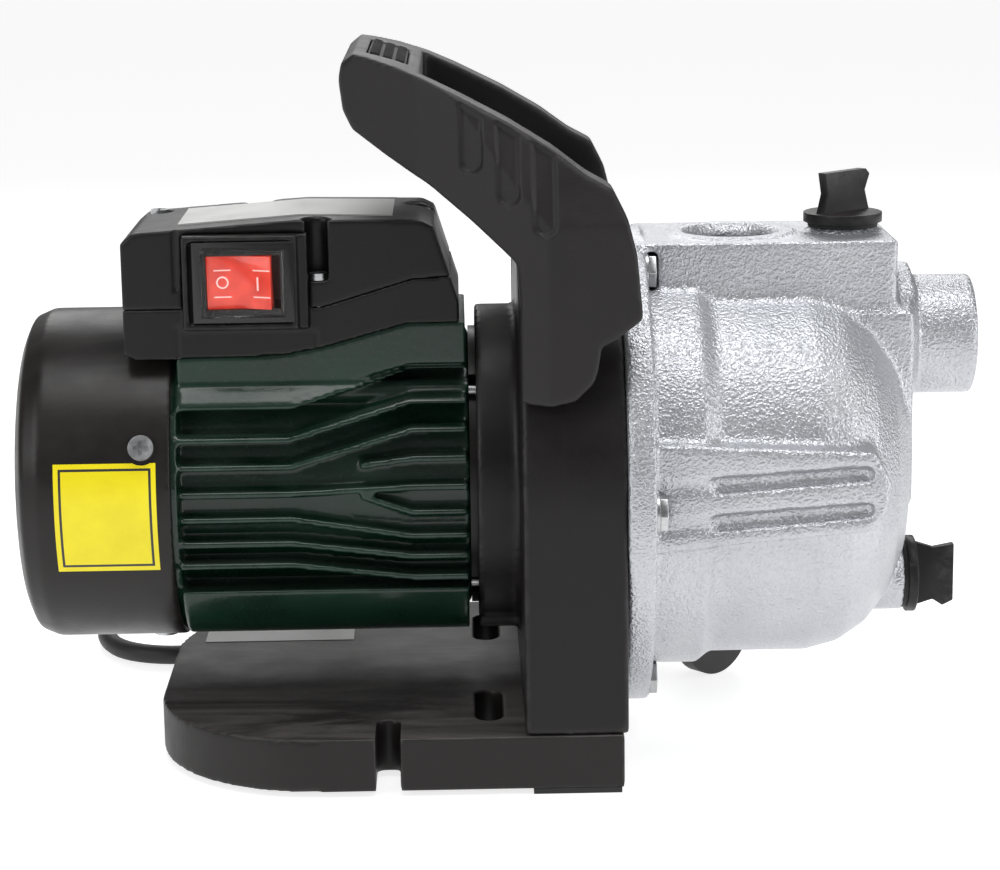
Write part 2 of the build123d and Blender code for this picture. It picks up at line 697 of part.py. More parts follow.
jet_profile += [(jet_end, jet_radius - 2.5), (nozzle_tip + 9, jet_radius - 2.5)]
jet_nozzle = turned(jet_profile)
for rib in range(4):
    turn = spun(rib * 90 + 45)
    rib_left, rib_right = nozzle_tip + 5, duct_x - 0.5
    jet_nozzle += turn * block(rib_left, rib_right, -1, 1, axis_z + 6.6, axis_z + ejector_bore - fit_gap)
save("jet_nozzle", jet_nozzle)

# ---- Filler plug and drain plug, each with a wing and a seal ring

plug_thread = 10.0
plug_disc = 5.0
wing_height = 15.0
wing_half = 12.5
wing_half_thickness = 1.9


def wing_plug(seat, wing):
    """A plug on the Z axis that seats at one height: thread below, disc and wing above."""
    thread = post(plug_bore, 0, 0, seat - plug_thread, seat)
    disc = post(plug_disc_radius, 0, 0, seat + 1.5, seat + plug_disc)
    neck = post(plug_bore, 0, 0, seat - 1, seat + 2)
    return thread + neck + disc + side_plate(wing, -wing_half_thickness, wing_half_thickness)


def wing_outline(seat, lean):
    low = seat + plug_disc - 0.5
    high = seat + plug_disc + wing_height
    waist = wing_half - 2.5
    return [(-wing_half, low), (wing_half, low), (waist, (low + high) / 2), (wing_half, high - lean),
            (wing_half - 2, high), (-wing_half + 1, high), (-waist, (low + high) / 2)]


filler_seat = block_top_z + 2
filler = wing_plug(0, wing_outline(0, 2))
save("filler_plug", Pos(filler_x, 0, filler_seat) * Rot(0, 0, 40) * filler)
ring = post(plug_disc_radius - 1.6, 0, 0, 0, 1.5) - post(plug_bore, 0, 0, -1, 3)
save("filler_plug_seal", Pos(filler_x, 0, filler_seat) * ring)
drain = wing_plug(0, wing_outline(0, 4))
to_side = Pos(drain_right, 0, drain_z) * Rot(0, 90, 0)
save("drain_plug", to_side * drain)
save("drain_plug_seal", to_side * ring)

# ---- Terminal box on the motor, with its lid, screws, capacitor and terminals

box_outline = [(-135.5, 151.0), (-135.5, 190.5), (-131.0, 194.2), (-72.5, 198.3), (-30.0, 197.4)]
box_outline += [(-25.5, 195.2), (-17.0, 168.0), (-17.0, 161.0), (-36.0, 160.7), (-66.0, 152.6)]
box_outline += [(-80.0, 150.2), (-117.5, 149.2), (-131.5, 149.2)]
box_inside = [(-132.5, 162.5), (-132.5, 189.5), (-72.5, 195.2), (-31.5, 194.3), (-21.0, 164.0)]
box_inside += [(-36.5, 163.9), (-67.0, 155.8), (-80.5, 153.4), (-118.0, 152.4), (-124.5, 152.4)]
split = [(-140.0, 140.0), (-140.0, 167.0), (-65.0, 167.0), (-33.0, 176.5), (-15.0, 177.5), (-15.0, 140.0)]
rim_x0, rim_x1 = switch_x - 21.5, switch_x + 22.5
rim_z0, rim_z1 = switch_z - 17.0, switch_z + 16.5
outside = side_plate(box_outline, box_near, box_far)
hollow = side_plate(box_inside, box_near + box_wall, box_far - box_wall)
shell = outside - hollow
lower = side_plate(split, box_near - 1, box_far + 1)
panel = block(rim_x0, rim_x1, box_near - 3, box_near + box_wall, rim_z0 - 8, rim_z1)
box_base = (shell & lower) + (panel & block(rim_x0, rim_x1, box_near - 3, box_far, rim_z0, rim_z1))
box_lid = shell - lower - block(rim_x0 - fit_gap, rim_x1 + fit_gap, box_near - 4, box_near + box_wall + 1,
                                rim_z0, rim_z1 + fit_gap)
lid_screw_places = [(-66.5, box_near + 3.5), (-90.0, box_far - 3.5), (-127.0, 10.0), (-30.0, 0.0)]
lid_post = 4.5
screw_tops = {}
for x, y in lid_screw_places:
    side_channel = y < -20 or y > 12
    top = 176.5 if side_channel else 193.0
    column = post(lid_post + (3.5 if side_channel else 0), x, y, 158, 200) & outside
    box_base += column & lower
    box_lid += column - lower
    screw_tops[(x, y)] = top
    box_lid -= post(lid_post + 0.5, x, y, top, 205)
    box_lid -= post(screw_shank + fit_gap, x, y, 150, 205)
    box_base -= post(screw_shank + fit_gap, x, y, 162, 205)
box_lid -= panel
box_base -= bar(cover_radius + shell_gap, -140, fins_left + 0.5)
box_base -= post(wire_hole, -45, 0, 140, 170)
bezel_half_w = switch_width / 2
bezel_half_h = switch_height / 2
body_half_w = bezel_half_w - 3.0
body_half_h = bezel_half_h - 3.0
switch_cut = block(switch_x - body_half_w, switch_x + body_half_w, box_near - 5, box_near + 8,
                   switch_z - body_half_h, switch_z + body_half_h)
box_base -= switch_cut
gland_thread = 7.0
gland_cut = peg(gland_thread + fit_gap, gland_x, gland_z, box_far - 8, box_far + 1)
box_base += block(gland_x - 11, gland_x + 11, box_far - box_wall, box_far, 160, 184)
box_base -= gland_cut
box_lid -= block(gland_x - 11.1, gland_x + 11.1, box_far - box_wall - 0.1, box_far + 1, 150, 184.1)
save("terminal_box", box_base)
save("terminal_box_lid", box_lid)
lid_screws = []
for (x, y), top in screw_tops.items():
    lid_screws.append(post(3.2, x, y, top, top + 2.4) + post(screw_shank, x, y, 162.5, top))
save_group("lid_screws", lid_screws)
save("capacitor", bar(11, -73, -37, 0, 179))
terminals = block(-122, -112, -30, 3, 163, 175)
for step in range(3):
    terminals += block(-120, -114, -28 + step * 11, -21 + step * 11, 175, 178)
save("terminal_block", terminals)
label_line = [(-116.0, 195.2), (-72.5, 198.2), (-40.0, 197.5)]
lid_label = label_line + [(x, z + 0.6) for x, z in reversed(label_line)]
save("lid_label", side_plate(lid_label, -34, 8) - outside)

# ---- Mains switch: frame, rocker and clear splash cover

pivot_y = box_near + 3.0
bezel_out = box_near - 5.0
pocket_half = 12.9
pocket_half_h = rocker_height / 2 + 0.15
switch_body = block(switch_x - body_half_w, switch_x + body_half_w, bezel_out, pivot_y + 11,
                    switch_z - body_half_h, switch_z + body_half_h)
switch_body += block(switch_x - bezel_half_w, switch_x + bezel_half_w, bezel_out, box_near - 3,
                     switch_z - bezel_half_h, switch_z + bezel_half_h)
switch_body -= block(switch_x - pocket_half, switch_x + pocket_half, bezel_out - 1, pivot_y + 8.5,
                     switch_z - pocket_half_h, switch_z + pocket_half_h)
pin_radius = 1.2
pin_half = rocker_height / 2 + 1.2
switch_body -= post(pin_radius + running_gap, switch_x, pivot_y, switch_z - pin_half - 0.2,
                    switch_z + pin_half + 0.2)
for spade in (-7, 7):
    switch_body += block(switch_x + spade - 3, switch_x + spade + 3, pivot_y + 10.5, pivot_y + 19,
                         switch_z - 0.5, switch_z + 0.5)
save("switch_body", switch_body)
half_w = rocker_width / 2
face_out = 8.6
rocker_shape = [(-half_w, face_out), (0, face_out - 2.2), (half_w, face_out), (half_w - 1.5, 0)]
rocker_shape += [(3.5, -5.5), (-3.5, -5.5), (-half_w + 1.5, 0)]
tilt = math.radians(rocker_tilt)
rocker_points = []
for u, v in rocker_shape:
    along = u * math.cos(tilt) - v * math.sin(tilt)
    out = u * math.sin(tilt) + v * math.cos(tilt)
    rocker_points.append((switch_x + along, pivot_y - out))
low_z = switch_z - rocker_height / 2
rocker_face = make_face(Polyline(*[(x, y, low_z) for x, y in rocker_points], close=True))
rocker = extrude(rocker_face, amount=rocker_height, dir=(0, 0, 1))
rocker += post(pin_radius, switch_x, pivot_y, switch_z - pin_half, switch_z + pin_half)
save("switch_rocker", rocker)
splash_half_w = 14.5
splash_half_h = 11.75
splash_out = bezel_out - 4.6
splash_wall = 0.8
splash = block(switch_x - splash_half_w, switch_x + splash_half_w, splash_out, bezel_out,
               switch_z - splash_half_h, switch_z + splash_half_h)
splash -= block(switch_x - splash_half_w + splash_wall, switch_x + splash_half_w - splash_wall,
                splash_out + splash_wall, bezel_out + 1, switch_z - splash_half_h + splash_wall,
                switch_z + splash_half_h - splash_wall)
save("switch_splash_cover", splash)

# ---- Cable gland, mains lead and plug

gland_hex = 10.5
gland_tip = box_far + 30.0
gland_points = [(gland_x + gland_hex * math.cos(math.radians(30 + k * 60)),
                 gland_z + gland_hex * math.sin(math.radians(30 + k * 60))) for k in range(6)]
gland = side_plate(gland_points, box_far, box_far + 9)
gland += peg(gland_thread, gland_x, gland_z, box_far - 7, box_far + 9)
relief = Cone(cord_radius + 1.4, gland_hex - 3, gland_tip - box_far - 9)
gland += Pos(gland_x, (box_far + 9 + gland_tip) / 2, gland_z) * Rot(90, 0, 0) * relief
gland -= peg(cord_radius, gland_x, gland_z, box_far - 8, gland_tip + 1)
save("cable_gland", gland)

floor_z = cord_radius + 0.05
first_lead = [(gland_x, gland_tip - 14, gland_z), (-58, 62, 172), (-59, 84, 165), (-61, 99, 146)]
first_lead += [(-63, 107, 122), (-66, 111, 97), (-70, 112, 72), (-76, 112, 48), (-84, 109, 27)]
first_lead += [(-93, 100, 11), (-110, 86, floor_z), (-131.5, 73, floor_z), (-157, 81, floor_z)]
first_lead += [(-168, 105, floor_z), (-166, 132, floor_z), (-153, 157, floor_z), (-135, 178, floor_z)]
first_lead += [(-112, 194, floor_z), (-90, 203, floor_z)]
second_lead = [(-52, 200, 10), (-30, 187, 5), (-11, 168, floor_z), (2, 147, floor_z), (19, 125, floor_z)]
second_lead += [(37, 106, 8)]


def cord(points):
    """Straight runs with an arc at each corner as large as its runs allow."""
    spots = [Vector(*point) for point in points]
    radii = []
    for before, corner, after in zip(spots, spots[1:], spots[2:]):
        turn = math.radians((corner - before).get_angle(after - corner))
        shorter = min((corner - before).length, (after - corner).length)
        radii.append(0.45 * shorter / math.tan(turn / 2))
    print("radii", [round(radius) for radius in radii])
    path = FilletPolyline(*spots, radius=radii)
    start = Plane(origin=path @ 0, z_dir=path % 0)
    made = sweep(start * Circle(cord_radius), path=path)
    ideal = math.pi * cord_radius**2 * path.length
    print("length", round(path.length, 1), "volume ratio", round(made.volume / ideal, 4))
    return made


plug_turn = math.radians(plug_heading)
plug_tail = 38.0
tail_x = plug_x - plug_tail * math.cos(plug_turn)
tail_y = plug_y - plug_tail * math.sin(plug_turn)
plug_z = plug_radius + 0.1
first = cord(first_lead)
on_axis = [(tail_x + step * math.cos(plug_turn), tail_y + step * math.sin(plug_turn), plug_z)
           for step in (-13.0, 8.0)]
second = cord(second_lead + on_axis)
save("cord_first_run", first)
save("cord_last_run", second)
band = Pos(coil_x, coil_y, coil_height / 2) * (
    Cylinder(coil_radius + coil_band / 2, coil_height) - Cylinder(coil_radius - coil_band / 2, coil_height + 2))
save("cord_coil", fillet(band.edges(), 5) - first - second)
tie_x = coil_x
tie = block(tie_x - 4, tie_x + 4, coil_y - coil_radius - coil_band / 2 - 1,
            coil_y - coil_radius + coil_band / 2 + 1, 0.2, coil_height + 1)
tie -= block(tie_x - 5, tie_x + 5, coil_y - coil_radius - coil_band / 2, coil_y - coil_radius + coil_band / 2,
             -1, coil_height) + band
save("cord_tie", tie)

to_plug = Pos(plug_x, plug_y, plug_z) * Rot(0, 0, plug_heading) * Rot(0, 90, 0)
grip_profile = [(0, -plug_tail), (cord_radius + 1.2, -plug_tail), (cord_radius + 2.2, -25), (12, -19),
                (plug_radius - 1.5, -9), (plug_radius, -7), (plug_radius, 0), (0, 0)]
plug_face = make_face(Polyline(*[(r, 0, z) for r, z in grip_profile], close=True))
plug = revolve(plug_face, Axis.Z) - Pos(0, 0, -plug_tail + 3) * Cylinder(cord_radius, 10)
pin_spacing = 19.0
pin_radius_mains = 2.4
for side in (-1, 1):
    plug -= Pos(0, side * pin_spacing / 2, -4) * Cylinder(pin_radius_mains, 20)
save("mains_plug", to_plug * plug)
pins = []
for side in (-1, 1):
    pin = Pos(0, side * pin_spacing / 2, 2.5) * Cylinder(pin_radius_mains, 33)
    pins.append(to_plug * pin)
save_group("plug_pins", pins)
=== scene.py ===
import bpy
import bmesh
import json
import math
from mathutils import Matrix, Vector


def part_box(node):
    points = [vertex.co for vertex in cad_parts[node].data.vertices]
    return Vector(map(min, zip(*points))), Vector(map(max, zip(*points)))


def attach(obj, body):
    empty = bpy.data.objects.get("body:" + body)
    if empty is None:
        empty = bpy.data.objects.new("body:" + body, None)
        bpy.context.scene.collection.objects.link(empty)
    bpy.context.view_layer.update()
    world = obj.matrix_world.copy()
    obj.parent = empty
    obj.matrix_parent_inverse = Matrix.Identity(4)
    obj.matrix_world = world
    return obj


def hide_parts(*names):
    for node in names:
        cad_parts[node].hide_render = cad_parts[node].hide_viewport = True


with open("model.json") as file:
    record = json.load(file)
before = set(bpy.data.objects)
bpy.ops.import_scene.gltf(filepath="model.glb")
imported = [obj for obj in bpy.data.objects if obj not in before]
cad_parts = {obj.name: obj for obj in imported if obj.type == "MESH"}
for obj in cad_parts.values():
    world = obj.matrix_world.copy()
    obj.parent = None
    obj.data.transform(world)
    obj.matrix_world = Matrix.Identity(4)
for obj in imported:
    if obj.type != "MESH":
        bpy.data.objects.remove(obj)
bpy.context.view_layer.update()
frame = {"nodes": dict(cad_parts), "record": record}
nodes = frame["nodes"]
scene = bpy.context.scene
mm = 0.001
# places below count in millimetres from the motor's datum, which lies this far right of the frame's origin
datumX = 1.85


def atDatum(place):
    return (place[0] + datumX) * mm, place[1] * mm, place[2] * mm


print("frame loaded", len(nodes), "nodes")

# ------- camera, floor and light
cameraSet = {"place": (-14.65, -1000.0, 330.0), "lookAt": (-0.65, 0.0, 110.0), "lens": 98.8, "roll": -0.8}


def makeCamera(opt):
    place = Vector(opt["place"]) * mm
    ahead = (Vector(opt["lookAt"]) * mm - place).normalized()
    side = ahead.cross(Vector((0, 0, 1))).normalized()
    top = side.cross(ahead)
    tilt = math.radians(opt["roll"])
    across = math.cos(tilt) * side + math.sin(tilt) * top
    upward = math.cos(tilt) * top - math.sin(tilt) * side
    data = bpy.data.cameras.new("camera")
    data.lens = opt["lens"]
    data.sensor_width = 36
    data.clip_start = 0.05
    cam = bpy.data.objects.new("camera", data)
    turn = Matrix((across, upward, -ahead)).transposed().to_4x4()
    cam.matrix_world = Matrix.Translation(place) @ turn
    scene.collection.objects.link(cam)
    scene.camera = cam


makeCamera(cameraSet)
scene.view_settings.view_transform = "Standard"

lampSet = {
    "overhead": {"place": (0.1, -0.25, 1.25), "aim": (0, 0, 0.1), "size": (1.0, 0.6), "power": 8.5},
    "frontLeft": {"place": (-1.1, -0.9, 0.75), "aim": (0, 0, 0.1), "size": (0.7, 0.9), "power": 5.5},
    "right": {"place": (1.2, -0.5, 0.5), "aim": (0, 0, 0.1), "size": (0.6, 0.9), "power": 5.0},
    "behind": {"place": (0.0, 1.1, 0.9), "aim": (0, 0, 0.1), "size": (1.2, 0.7), "power": 7.0},
}


def makeLamp(name, opt):
    data = bpy.data.lights.new(name, "AREA")
    data.shape = "RECTANGLE"
    data.size, data.size_y = opt["size"]
    data.energy = opt["power"]
    lamp = bpy.data.objects.new(name, data)
    lamp.location = opt["place"]
    aim = Vector(opt["aim"]) - Vector(opt["place"])
    lamp.rotation_euler = aim.to_track_quat("-Z", "Y").to_euler()
    scene.collection.objects.link(lamp)


for lampName, opt in lampSet.items():
    makeLamp(lampName, opt)


def makeWorld(opt):
    # the camera sees a white room; the object gets a softer light from it
    world = bpy.data.worlds.new("studio")
    scene.world = world
    world.use_nodes = True
    tree = world.node_tree
    path = tree.nodes.new("ShaderNodeLightPath")
    level = tree.nodes.new("ShaderNodeMapRange")
    level.inputs["To Min"].default_value = opt["light"]
    level.inputs["To Max"].default_value = opt["seen"]
    tree.links.new(path.outputs["Is Camera Ray"], level.inputs["Value"])
    tree.links.new(level.outputs[0], tree.nodes["Background"].inputs["Strength"])
    tree.nodes["Background"].inputs["Color"].default_value = (1, 1, 1, 1)


makeWorld({"light": 0.24, "seen": 1.0})

# ------- shader groups


def newGroup(name, inputs, outputs):
    group = bpy.data.node_groups.new(name, "ShaderNodeTree")
    for label, kind, start in inputs:
        socket = group.interface.new_socket(name=label, in_out="INPUT", socket_type=kind)
        socket.default_value = start
    for label, kind in outputs:
        group.interface.new_socket(name=label, in_out="OUTPUT", socket_type=kind)
    entry = group.nodes.new("NodeGroupInput")
    leave = group.nodes.new("NodeGroupOutput")
    return group, entry, leave


def addNode(tree, kind, values=None, **settings):
    node = tree.nodes.new(kind)
    for key, value in settings.items():
        setattr(node, key, value)
    for key, value in (values or {}).items():
        node.inputs[key].default_value = value
    return node


def addMath(tree, how, a, b, clamp=False):
    node = addNode(tree, "ShaderNodeMath", operation=how, use_clamp=clamp)
    for slot, value in ((0, a), (1, b)):
        if isinstance(value, (int, float)):
            node.inputs[slot].default_value = value
        else:
            tree.links.new(value, node.inputs[slot])
    return node.outputs[0]


def addRange(tree, value, low, high, toLow=0.0, toHigh=1.0):
    node = addNode(tree, "ShaderNodeMapRange", {1: low, 2: high, 3: toLow, 4: toHigh})
    tree.links.new(value, node.inputs[0])
    return node.outputs[0]


def addMix(tree, factor, colorA, colorB, how="MIX"):
    node = addNode(tree, "ShaderNodeMix", data_type="RGBA", blend_type=how)
    for slot, value in ((0, factor), (6, colorA), (7, colorB)):
        if isinstance(value, (int, float, tuple)):
            node.inputs[slot].default_value = value
        else:
            tree.links.new(value, node.inputs[slot])
    return node.outputs[2]


def grainGroup():
    # fine moulded grain: a height and a slow mottling mask
    group, entry, leave = newGroup(
        "mouldedGrain",
        [("Size", "NodeSocketFloat", 1500.0), ("Mottle Size", "NodeSocketFloat", 40.0)],
        [("Height", "NodeSocketFloat"), ("Mottle", "NodeSocketFloat")])
    place = addNode(group, "ShaderNodeTexCoord")
    fine = addNode(group, "ShaderNodeTexNoise", {"Detail": 3.0, "Roughness": 0.6})
    slow = addNode(group, "ShaderNodeTexNoise", {"Detail": 5.0, "Roughness": 0.65})
    for node, label in ((fine, "Size"), (slow, "Mottle Size")):
        group.links.new(place.outputs["Object"], node.inputs["Vector"])
        group.links.new(entry.outputs[label], node.inputs["Scale"])
    group.links.new(fine.outputs[0], leave.inputs["Height"])
    mottle = addRange(group, slow.outputs[0], 0.35, 0.68)
    group.links.new(mottle, leave.inputs["Mottle"])
    return group


def castGroup():
    # the pebbled skin of a sand casting under paint
    group, entry, leave = newGroup(
        "castSkin",
        [("Pebble Size", "NodeSocketFloat", 420.0), ("Warp", "NodeSocketFloat", 0.35)],
        [("Height", "NodeSocketFloat"), ("Tone", "NodeSocketFloat"), ("Pit", "NodeSocketFloat")])
    place = addNode(group, "ShaderNodeTexCoord")
    pebble = addNode(group, "ShaderNodeTexNoise", {"Detail": 2.2, "Roughness": 0.55})
    cells = addNode(group, "ShaderNodeTexVoronoi", {"Randomness": 1.0}, feature="SMOOTH_F1")
    broad = addNode(group, "ShaderNodeTexNoise", {"Scale": 28.0, "Detail": 4.0})
    for node in (pebble, cells, broad):
        group.links.new(place.outputs["Object"], node.inputs["Vector"])
    group.links.new(entry.outputs["Pebble Size"], pebble.inputs["Scale"])
    group.links.new(addMath(group, "MULTIPLY", entry.outputs["Pebble Size"], 1.6), cells.inputs["Scale"])
    group.links.new(entry.outputs["Warp"], pebble.inputs["Distortion"])
    bumps = addMath(group, "MULTIPLY", cells.outputs["Distance"], 0.45)
    height = addMath(group, "ADD", pebble.outputs[0], bumps)
    group.links.new(height, leave.inputs["Height"])
    group.links.new(addRange(group, broad.outputs[0], 0.35, 0.65), leave.inputs["Tone"])
    # Pit marks the hollows between the pebbles; castPaint darkens the colour there as painted shade
    group.links.new(addRange(group, pebble.outputs[0], 0.28, 0.5, 1.0, 0.0), leave.inputs["Pit"])
    return group


def dustGroup():
    # dust that settles on upward faces, broken up by streaks
    group, entry, leave = newGroup(
        "settledDust",
        [("Streak Size", "NodeSocketFloat", 30.0), ("Amount", "NodeSocketFloat", 0.4)],
        [("Mask", "NodeSocketFloat")])
    place = addNode(group, "ShaderNodeTexCoord")
    stretch = addNode(group, "ShaderNodeMapping")
    stretch.inputs["Scale"].default_value = (0.35, 1.6, 1.0)
    streak = addNode(group, "ShaderNodeTexNoise", {"Detail": 7.0, "Roughness": 0.7, "Distortion": 0.6})
    group.links.new(place.outputs["Object"], stretch.inputs["Vector"])
    group.links.new(stretch.outputs[0], streak.inputs["Vector"])
    group.links.new(entry.outputs["Streak Size"], streak.inputs["Scale"])
    facing = addNode(group, "ShaderNodeNewGeometry")
    split = addNode(group, "ShaderNodeSeparateXYZ")
    group.links.new(facing.outputs["Normal"], split.inputs[0])
    upward = addRange(group, split.outputs["Z"], 0.25, 0.95)
    broken = addRange(group, streak.outputs[0], 0.38, 0.72)
    mask = addMath(group, "MULTIPLY", upward, broken)
    group.links.new(addMath(group, "MULTIPLY", mask, entry.outputs["Amount"]), leave.inputs["Mask"])
    return group


def wearGroup():
    # bright or pale edges where a finish rubs off
    group, entry, leave = newGroup(
        "edgeWear",
        [("Amount", "NodeSocketFloat", 0.5), ("Patch Size", "NodeSocketFloat", 120.0)],
        [("Mask", "NodeSocketFloat")])
    facing = addNode(group, "ShaderNodeNewGeometry")
    place = addNode(group, "ShaderNodeTexCoord")
    patch = addNode(group, "ShaderNodeTexNoise", {"Detail": 4.0, "Roughness": 0.7})
    group.links.new(place.outputs["Object"], patch.inputs["Vector"])
    group.links.new(entry.outputs["Patch Size"], patch.inputs["Scale"])
    edge = addRange(group, facing.outputs["Pointiness"], 0.52, 0.6)
    mask = addMath(group, "MULTIPLY", edge, addRange(group, patch.outputs[0], 0.4, 0.6))
    group.links.new(addMath(group, "MULTIPLY", mask, entry.outputs["Amount"]), leave.inputs["Mask"])
    return group


grain, cast, dust, wear = grainGroup(), castGroup(), dustGroup(), wearGroup()
print("shader groups made")

# ------- materials


def startMaterial(name, rough, metallic=0.0):
    material = bpy.data.materials.new(name)
    material.use_nodes = True
    tree = material.node_tree
    shader = tree.nodes["Principled BSDF"]
    shader.inputs["Roughness"].default_value = rough
    shader.inputs["Metallic"].default_value = metallic
    return material, tree, shader


def useGroup(tree, group, **values):
    node = addNode(tree, "ShaderNodeGroup", node_tree=group)
    for key, value in values.items():
        node.inputs[key.replace("_", " ")].default_value = value
    return node


def addBump(tree, shader, height, strength, distance):
    bump = addNode(tree, "ShaderNodeBump", {"Strength": strength, "Distance": distance})
    tree.links.new(height, bump.inputs["Height"])
    tree.links.new(bump.outputs[0], shader.inputs["Normal"])


def plastic(name, opt):
    # moulded plastic or rubber: grain, slow mottling, dust on top and pale edges
    material, tree, shader = startMaterial(name, opt["rough"])
    skin = useGroup(tree, grain, Size=opt["grain"], Mottle_Size=opt.get("mottle", 45.0))
    settled = useGroup(tree, dust, Amount=opt.get("dust", 0.0), Streak_Size=opt.get("streak", 30.0))
    rubbed = useGroup(tree, wear, Amount=opt.get("wear", 0.0))
    dark = tuple(c * opt.get("spread", 0.8) for c in opt["color"]) + (1,)
    base = addMix(tree, skin.outputs["Mottle"], dark, opt["color"] + (1,))
    dusty = addMix(tree, settled.outputs["Mask"], base, opt.get("dustColor", (0.25, 0.24, 0.23)) + (1,))
    worn = addMix(tree, rubbed.outputs["Mask"], dusty, opt.get("wearColor", (0.2, 0.2, 0.2)) + (1,))
    tree.links.new(worn, shader.inputs["Base Color"])
    mask = addMath(tree, "ADD", skin.outputs["Mottle"], settled.outputs["Mask"], True)
    rough = addRange(tree, mask, 0, 1, opt["rough"] - 0.05, opt["rough"] + 0.09)
    tree.links.new(rough, shader.inputs["Roughness"])
    addBump(tree, shader, skin.outputs["Height"], opt.get("bump", 0.3), opt.get("depth", 0.0002))
    if "gloss" in opt:
        shader.inputs["Specular IOR Level"].default_value = opt["gloss"]
    return material


def castPaint(name, opt):
    material, tree, shader = startMaterial(name, opt["rough"], opt["metallic"])
    skin = useGroup(tree, cast, Pebble_Size=opt["pebble"], Warp=0.4)
    tone = addMix(tree, skin.outputs["Tone"], opt["dark"] + (1,), opt["color"] + (1,))
    # painted shade: the pebbles' hollows are darkened in the base colour, standing in for the shade that falls in
    # them
    pitShadeMask = addMath(tree, "MULTIPLY", skin.outputs["Pit"], opt.get("pitShade", 0.5))
    pitShaded = addMix(tree, pitShadeMask, tone, opt["pitShadeColor"] + (1,))
    tree.links.new(pitShaded, shader.inputs["Base Color"])
    rough = addRange(tree, skin.outputs["Pit"], 0, 1, opt["rough"] - 0.04, opt["rough"] + 0.14)
    tree.links.new(rough, shader.inputs["Roughness"])
    addBump(tree, shader, skin.outputs["Height"], opt["bump"], opt["depth"])
    return material


def glossPaint(name, opt):
    # thick gloss paint with orange peel, specks and rubbed edges
    material, tree, shader = startMaterial(name, opt["rough"])
    skin = useGroup(tree, cast, Pebble_Size=opt["peel"], Warp=0.2)
    specks = useGroup(tree, grain, Size=520.0, Mottle_Size=900.0)
    rubbed = useGroup(tree, wear, Amount=opt["wear"], Patch_Size=90.0)
    settled = useGroup(tree, dust, Amount=opt.get("dust", 0.2), Streak_Size=60.0)
    dark = tuple(c * 0.6 for c in opt["color"]) + (1,)
    tone = addMix(tree, skin.outputs["Tone"], dark, opt["color"] + (1,))
    fleck = addRange(tree, specks.outputs["Mottle"], 0.9, 1.0, 0.0, 0.35)
    flecked = addMix(tree, fleck, tone, opt["fleck"] + (1,))
    dusty = addMix(tree, settled.outputs["Mask"], flecked, (0.22, 0.25, 0.23, 1))
    worn = addMix(tree, rubbed.outputs["Mask"], dusty, opt["wearColor"] + (1,))
    tree.links.new(worn, shader.inputs["Base Color"])
    rough = addRange(tree, skin.outputs["Tone"], 0, 1, opt["rough"] - 0.06, opt["rough"] + 0.1)
    tree.links.new(rough, shader.inputs["Roughness"])
    addBump(tree, shader, skin.outputs["Height"], opt["bump"], 0.0004)
    shader.inputs["Specular IOR Level"].default_value = 0.35
    shader.inputs["Coat Weight"].default_value = 0.25
    shader.inputs["Coat Roughness"].default_value = 0.1
    return material


def metal(name, opt):
    material, tree, shader = startMaterial(name, opt["rough"], 1.0)
    skin = useGroup(tree, grain, Size=opt["grain"], Mottle_Size=opt.get("mottle", 150.0))
    dark = tuple(c * 0.72 for c in opt["color"]) + (1,)
    base = addMix(tree, skin.outputs["Mottle"], dark, opt["color"] + (1,))
    tree.links.new(base, shader.inputs["Base Color"])
    rough = addRange(tree, skin.outputs["Mottle"], 0, 1, opt["rough"] - 0.06, opt["rough"] + 0.12)
    tree.links.new(rough, shader.inputs["Roughness"])
    addBump(tree, shader, skin.outputs["Height"], opt.get("bump", 0.12), 0.0001)
    return material


plasticSet = {
    "blackPlastic": {"color": (0.009, 0.0075, 0.0075), "rough": 0.4, "grain": 1600.0, "dust": 0.08, "wear": 0.3,
                     "gloss": 0.3},
    "basePlastic": {"color": (0.012, 0.010, 0.0095), "rough": 0.44, "gloss": 0.34, "grain": 1500.0, "dust": 0.75,
                    "dustColor": (0.17, 0.155, 0.15), "wear": 0.35, "streak": 24.0},
    "greyPlastic": {"color": (0.016, 0.014, 0.0145), "rough": 0.46, "gloss": 0.32, "grain": 1700.0, "dust": 0.15, "bump": 0.5,
                    "wear": 0.15},
    "gripRubber": {"color": (0.02, 0.02, 0.021), "rough": 0.66, "grain": 2200.0, "bump": 0.45},
    "boxPlastic": {"color": (0.0065, 0.006, 0.006), "rough": 0.38, "grain": 1500.0, "dust": 0.1, "wear": 0.25,
                   "gloss": 0.3},
    "satinBlack": {"color": (0.010, 0.008, 0.0075), "rough": 0.34, "gloss": 0.34, "grain": 900.0, "bump": 0.12, "dust": 0.1},
    "blackRubber": {"color": (0.012, 0.012, 0.012), "rough": 0.62, "grain": 1800.0},
    "cordRubber": {"color": (0.016, 0.015, 0.015), "rough": 0.55, "grain": 2400.0, "bump": 0.25},
    "switchBlack": {"color": (0.01, 0.01, 0.01), "rough": 0.28, "grain": 2600.0, "bump": 0.08},
    "naturalPlastic": {"color": (0.62, 0.59, 0.5), "rough": 0.45, "grain": 1600.0},
    "whitePlastic": {"color": (0.7, 0.7, 0.68), "rough": 0.35, "grain": 1800.0, "bump": 0.1},
    "fanPlastic": {"color": (0.03, 0.03, 0.03), "rough": 0.5, "grain": 1500.0},
    "ceramic": {"color": (0.85, 0.83, 0.78), "rough": 0.2, "grain": 2500.0, "bump": 0.05},
    "labelPaper": {"color": (0.62, 0.62, 0.61), "rough": 0.33, "grain": 2600.0, "bump": 0.06, "spread": 0.92},
}
